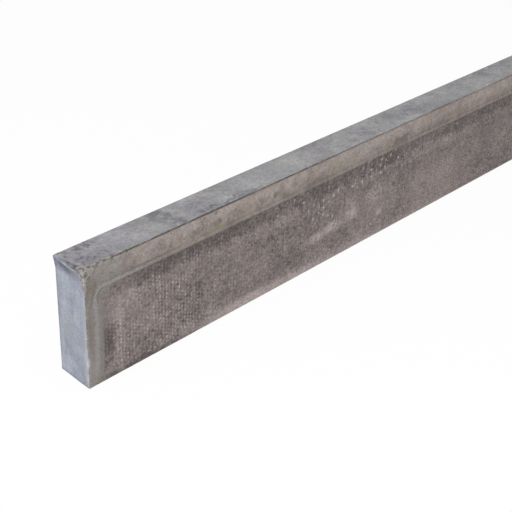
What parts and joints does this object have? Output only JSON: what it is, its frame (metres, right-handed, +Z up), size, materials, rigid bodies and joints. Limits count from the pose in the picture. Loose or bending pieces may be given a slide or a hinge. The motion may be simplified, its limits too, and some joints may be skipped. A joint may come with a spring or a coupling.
{
  "type": "kerb stone",
  "caption": "Flat-top pressed concrete edging kerb: a long upright block with a recessed, cloth-marked front panel in a smooth border.",
  "frame": {"origin": "middle of the base, on the ground plane", "axes": "+X along the length, +Y from the patterned front face to the plain back face, +Z up"},
  "size_m": [0.915, 0.05, 0.1499],
  "materials": {
    "concrete": "matt, rough"
  },
  "bodies": {
    "root": {"kerb_stone": "concrete"}
  },
  "joints": []
}
